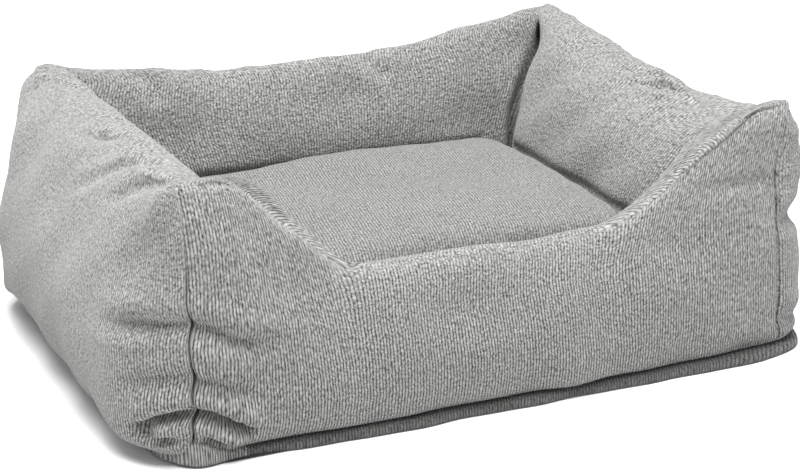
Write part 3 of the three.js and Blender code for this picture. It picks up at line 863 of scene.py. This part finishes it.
def make_teeth(material):
    """Two rows of rounded teeth that reach past each other, in place of the closed coil."""
    low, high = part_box("zip_coil")
    middle_y, middle_z = (low.y + high.y) / 2, (low.z + high.z) / 2
    depth = (high.y - low.y) / 2
    reach = high.z - middle_z
    vertices = []
    faces = []
    for i in range(TEETH):
        for row in (1, -1):
            x = low.x + 0.0006 + TOOTH_STEP * i + 0.0005 * (1 + row)
            ends = [row * reach, row * (reach - 0.0004), -row * 0.0004, -row * 0.0008]
            widths = [0.6, 1, 1, 0.55]
            first = len(vertices)
            for end, width in zip(ends[::row], widths[::row]):
                vertices += tooth_ring(x, middle_y, middle_z + end, TOOTH_HALF_WIDTH * width, depth * width)
            faces += ring_faces(first, len(ends), 8)
    piece = new_object("zip_teeth", vertices, faces)
    paint(piece, material)
    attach(piece, "cushion")
    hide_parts("zip_coil")


def tooth_ring(x, y, z, half_x, half_y):
    angle = np.linspace(0, 2 * np.pi, 8, endpoint=False)
    return [(x + half_x * math.cos(a), y - half_y * math.sin(a), z) for a in angle[::-1]]


# ---- Materials ----
class Nodes:
    """Short ways to add shader nodes to a new material."""

    def __init__(self, name, roughness, specular=0.3):
        self.material = bpy.data.materials.new(name)
        self.material.use_nodes = True
        self.tree = self.material.node_tree
        self.shader = self.tree.nodes["Principled BSDF"]
        self.shader.inputs["Roughness"].default_value = roughness
        self.shader.inputs["Specular IOR Level"].default_value = specular

    def put(self, socket, value):
        if hasattr(value, "is_linked"):
            self.tree.links.new(value, socket)
        else:
            socket.default_value = value

    def math(self, operation, *values):
        node = self.tree.nodes.new("ShaderNodeMath")
        node.operation = operation
        for socket, value in zip(node.inputs, values):
            self.put(socket, value)
        return node.outputs[0]

    def coordinate(self, kind="cloth"):
        if kind == "object":
            return self.tree.nodes.new("ShaderNodeTexCoord").outputs["Object"]
        node = self.tree.nodes.new("ShaderNodeUVMap")
        node.uv_map = kind
        return node.outputs["UV"]

    def parts(self, vector):
        node = self.tree.nodes.new("ShaderNodeSeparateXYZ")
        self.put(node.inputs[0], vector)
        return node.outputs

    def vector(self, x, y, z):
        node = self.tree.nodes.new("ShaderNodeCombineXYZ")
        for socket, value in zip(node.inputs, (x, y, z)):
            self.put(socket, value)
        return node.outputs[0]

    def noise(self, vector, scale, detail=2.0, low=0.0, high=1.0):
        """Noise over the vector; low and high are the values that become 0 and 1."""
        node = self.tree.nodes.new("ShaderNodeTexNoise")
        self.put(node.inputs["Vector"], vector)
        node.inputs["Scale"].default_value = scale
        node.inputs["Detail"].default_value = detail
        if (low, high) == (0.0, 1.0):
            return node.outputs["Fac"]
        return self.ramp(node.outputs["Fac"], low, high)

    def ramp(self, value, low, high):
        node = self.tree.nodes.new("ShaderNodeMapRange")
        node.inputs["From Min"].default_value = low
        node.inputs["From Max"].default_value = high
        self.put(node.inputs["Value"], value)
        return node.outputs[0]

    def colour(self, factor, dark, light, tone):
        mix = self.tree.nodes.new("ShaderNodeMix")
        mix.data_type = "RGBA"
        mix.inputs["A"].default_value = (*dark, 1)
        mix.inputs["B"].default_value = (*light, 1)
        self.put(mix.inputs["Factor"], factor)
        shade = self.tree.nodes.new("ShaderNodeHueSaturation")
        self.put(shade.inputs["Value"], tone)
        self.put(shade.inputs["Color"], mix.outputs["Result"])
        self.put(self.shader.inputs["Base Color"], shade.outputs["Color"])

    def bump(self, height, distance, strength=0.8):
        node = self.tree.nodes.new("ShaderNodeBump")
        node.inputs["Strength"].default_value = strength
        node.inputs["Distance"].default_value = distance
        self.put(node.inputs["Height"], height)
        self.put(self.shader.inputs["Normal"], node.outputs["Normal"])


RIB_PITCH = 0.0031            # one cord of the knit
LOOP_LENGTH = 0.0034          # one loop along a cord


def knit_material(name, light, dark, depth=0.0020):
    """A cord knit: cords of loose loops side by side, from the cloth's own coordinates in metres.
    Where the cloth is pulled taut, and where light reaches into them, the grooves between the cords are
    shallower and carry less painted shade, and the loops show more."""
    n = Nodes(name, 0.95, 0.12)
    uv = n.coordinate()
    u, v = n.parts(uv)[:2]
    sway = n.math("MULTIPLY", n.math("SUBTRACT", n.noise(uv, 60), 0.5), 0.8)
    wriggle = n.math("MULTIPLY", n.math("SUBTRACT", n.noise(uv, 300, 1), 0.5), 0.55)
    column = n.math("ADD", n.math("DIVIDE", u, RIB_PITCH), n.math("ADD", sway, wriggle))
    across = n.math("SUBTRACT", n.math("FRACT", column), 0.5)
    cord = n.math("POWER", n.math("COSINE", n.math("MULTIPLY", across, math.pi)), 0.8)
    own = n.math("MULTIPLY", n.math("FLOOR", column), 3.71)
    place = n.vector(own, n.math("DIVIDE", v, LOOP_LENGTH), n.math("MULTIPLY", across, 0.8))
    grain = n.noise(place, 1.0, 2, 0.30, 0.70)
    tight = n.parts(n.coordinate("tight"))[0]
    # Shallower grooves with less painted shade where the cloth is taut and where light reaches in.
    groove_depth_and_shade = n.math("SUBTRACT", 1, n.math("MULTIPLY", tight, 0.50))
    cord = n.math("SUBTRACT", 1, n.math("MULTIPLY", n.math("SUBTRACT", 1, cord), groove_depth_and_shade))
    share = n.math("ADD", n.math("MULTIPLY", tight, 0.12), 0.47)
    gaps = n.math("MULTIPLY", n.math("SUBTRACT", 1, grain), share)
    loops = n.math("MULTIPLY", cord, n.math("SUBTRACT", 1, gaps))
    fibre = n.noise(uv, 430, 3, 0.32, 0.68)
    height = n.math("ADD", n.math("MULTIPLY", loops, 0.68), n.math("MULTIPLY", fibre, 0.32))
    tone = n.math("ADD", n.math("MULTIPLY", n.noise(uv, 9, 3), 0.2), 0.9)
    # The colour follows the height: near black in the grooves between the cords as painted shade, the
    # yarn's tone on the loops.
    n.colour(n.ramp(height, 0.24, 0.82), dark, light, tone)
    n.bump(height, depth)
    n.shader.inputs["Sheen Weight"].default_value = 0.25
    n.shader.inputs["Sheen Roughness"].default_value = 0.6
    return n.material


def woven_material(name, light, dark, pitch, roughness=0.8, specular=0.3):
    """A plain weave of the given thread pitch."""
    n = Nodes(name, roughness, specular)
    uv = n.coordinate()
    u, v = n.parts(uv)[:2]
    over = n.math("SINE", n.math("MULTIPLY", u, math.pi / pitch))
    under = n.math("SINE", n.math("MULTIPLY", v, math.pi / pitch))
    weave = n.math("ADD", n.math("MULTIPLY", n.math("MULTIPLY", over, under), 0.5), 0.5)
    mixed = n.math("ADD", n.math("MULTIPLY", weave, 0.7), n.math("MULTIPLY", n.noise(uv, 900, 2), 0.3))
    tone = n.math("ADD", n.math("MULTIPLY", n.noise(uv, 14, 3), 0.3), 0.85)
    n.colour(mixed, dark, light, tone)
    n.bump(mixed, pitch * 0.3)
    return n.material


def hard_material(name, light, dark, roughness, metallic=0.0, grain=1800):
    """Plastic, rubber or cast metal with faint flecks and scuffs."""
    n = Nodes(name, roughness, 0.5)
    at = n.coordinate("object")
    flecks = n.noise(at, grain, 3, 0.3, 0.7)
    tone = n.math("ADD", n.math("MULTIPLY", n.noise(at, 60, 2), 0.3), 0.85)
    n.colour(flecks, dark, light, tone)
    n.bump(flecks, 0.00006, 0.5)
    worn = n.math("ADD", n.math("MULTIPLY", n.noise(at, 220, 3), 0.25), roughness - 0.12)
    n.put(n.shader.inputs["Roughness"], worn)
    n.shader.inputs["Metallic"].default_value = metallic
    return n.material


def paint(piece, *materials):
    piece.data.materials.clear()
    for material in materials:
        piece.data.materials.append(material)


# ---- Stage ----
def make_camera():
    data = bpy.data.cameras.new("camera")
    data.lens = CAMERA_LENS
    data.sensor_width = 36
    camera = bpy.data.objects.new("camera", data)
    bpy.context.scene.collection.objects.link(camera)
    camera.location = CAMERA_AT
    aim = Vector(CAMERA_TARGET) - Vector(CAMERA_AT)
    camera.rotation_euler = aim.to_track_quat("-Z", "Y").to_euler()
    bpy.context.scene.camera = camera


def area_light(name, at, target, size, power):
    data = bpy.data.lights.new(name, "AREA")
    data.shape = "RECTANGLE"
    data.size, data.size_y = size
    data.energy = power
    light = bpy.data.objects.new(name, data)
    bpy.context.scene.collection.objects.link(light)
    light.location = at
    aim = Vector(target) - Vector(at)
    light.rotation_euler = aim.to_track_quat("-Z", "Y").to_euler()


def make_stage():
    floor = new_object("floor", [(-4, -4, 0), (4, -4, 0), (4, 4, 0), (-4, 4, 0)], [(0, 1, 2, 3)])
    pale = Nodes("pale_floor", 0.9)
    pale.shader.inputs["Base Color"].default_value = (0.82, 0.82, 0.82, 1)
    paint(floor, pale.material)
    area_light("key", (-0.35, -0.6, 2.7), (0, 0, 0.1), (2.0, 2.0), 188)
    area_light("fill", (-0.6, -2.6, 2.2), (0, 0, 0.1), (2.0, 1.6), 2)
    world = bpy.data.worlds.new("studio")
    world.use_nodes = True
    world.node_tree.nodes["Background"].inputs["Color"].default_value = (1, 1, 1, 1)
    world.node_tree.nodes["Background"].inputs["Strength"].default_value = 0.57
    bpy.context.scene.world = world
    bpy.context.scene.view_settings.view_transform = "Standard"


make_camera()
make_stage()
# The dark tones of the cord knits below are the painted shade in their grooves.
knit = knit_material("cord_knit", (0.325, 0.327, 0.315), (0.006, 0.006, 0.006))
# A darker copy of the cord knit: painted shade on the base's rim under the bolsters' overhang.
shaded_rim_knit = knit_material("edge_cord_knit", (0.115, 0.1155, 0.112), (0.004, 0.004, 0.004))
cushion_knit = knit_material("cushion_cord_knit", (0.255, 0.257, 0.247), (0.012, 0.012, 0.011), 0.0016)
lining = woven_material("lining_weave", (0.28, 0.28, 0.27), (0.13, 0.13, 0.125), 0.0009)
nylon = woven_material("underside_weave", (0.030, 0.030, 0.032), (0.008, 0.008, 0.009), 0.0012, 0.55)
rubber = hard_material("grip_rubber", (0.034, 0.034, 0.035), (0.014, 0.014, 0.015), 0.5)
tape_weave = woven_material("tape_weave", (0.32, 0.32, 0.31), (0.14, 0.14, 0.135), 0.0007)
plastic = hard_material("coil_plastic", (0.23, 0.23, 0.225), (0.17, 0.17, 0.165), 0.4)
metal = hard_material("zip_alloy", (0.62, 0.62, 0.63), (0.45, 0.45, 0.46), 0.32, 1.0, 900)

make_bolsters(knit)
cushion = make_cushion(cushion_knit)
make_underside(nylon, rubber, make_base_cover(shaded_rim_knit, lining, knit))
tape_piece("zip_tape_upper", tape_weave)
tape_piece("zip_tape_lower", tape_weave)
make_teeth(plastic)
for node in ("zip_stop_left", "zip_stop_right", "zip_slider", "zip_pull"):
    paint(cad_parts[node], metal)
